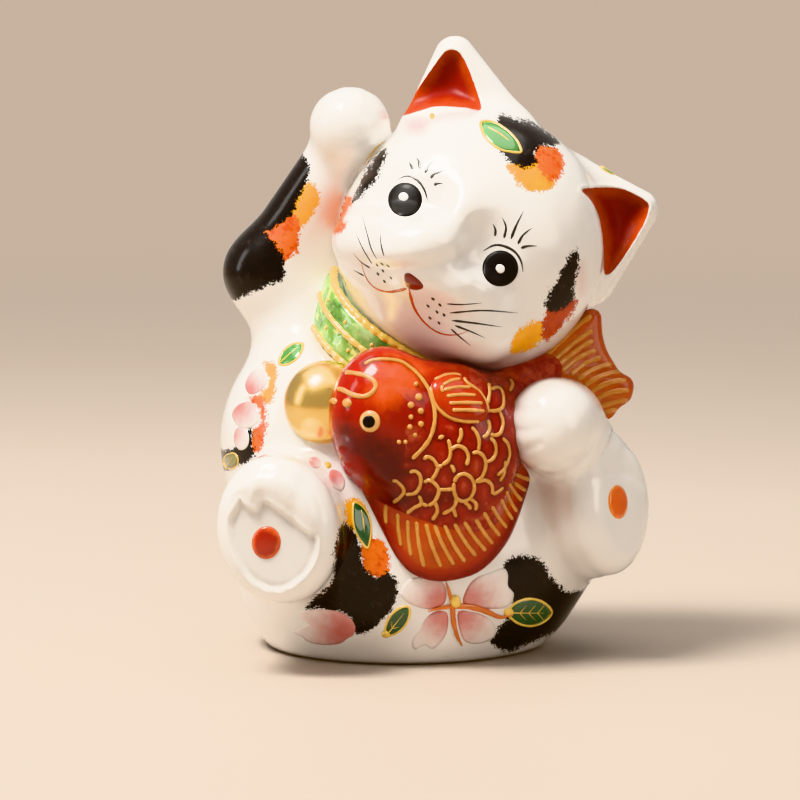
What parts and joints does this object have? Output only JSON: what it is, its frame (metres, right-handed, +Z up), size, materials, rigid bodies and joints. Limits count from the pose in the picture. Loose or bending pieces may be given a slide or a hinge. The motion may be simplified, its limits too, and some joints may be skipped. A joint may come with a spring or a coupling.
{
  "type": "beckoning cat figurine",
  "caption": "Seated porcelain beckoning cat, one paw raised, holding a red fish, with collar, bell and outstretched feet; stands on a flat foot.",
  "frame": {"origin": "centre of the flat resting foot", "axes": "+Z up, the cat's front faces -Y, its left side is +X"},
  "size_m": [0.0876, 0.0771, 0.1221],
  "materials": {
    "porcelain_white": "gloss",
    "ear_glaze": "gloss",
    "fish_red": "gloss",
    "fin_red": "gloss",
    "slip_gold": "satin",
    "bell_gilt": "mirror gilt",
    "collar_green": "gloss",
    "enamel_black": "gloss",
    "enamel_red": "gloss",
    "enamel_orange": "gloss"
  },
  "bodies": {
    "root": {"torso_shell": "porcelain_white", "head_shell": "porcelain_white", "right_ear": "porcelain_white", "left_ear": "porcelain_white", "raised_arm": "porcelain_white", "holding_arm": "porcelain_white", "right_leg": "porcelain_white", "left_leg": "porcelain_white", "tail": "porcelain_white", "right_sole_pad": "enamel_red", "left_sole_pad": "enamel_orange", "right_eye": "enamel_black", "left_eye": "enamel_black", "nose": "enamel_red", "fish_body": "fish_red", "fish_dorsal_fin": "fin_red", "fish_pectoral_fin": "fish_red", "fish_tail_fin": "fin_red", "fish_eye": "slip_gold", "collar_band": "collar_green", "bell": "bell_gilt"}
  },
  "joints": []
}
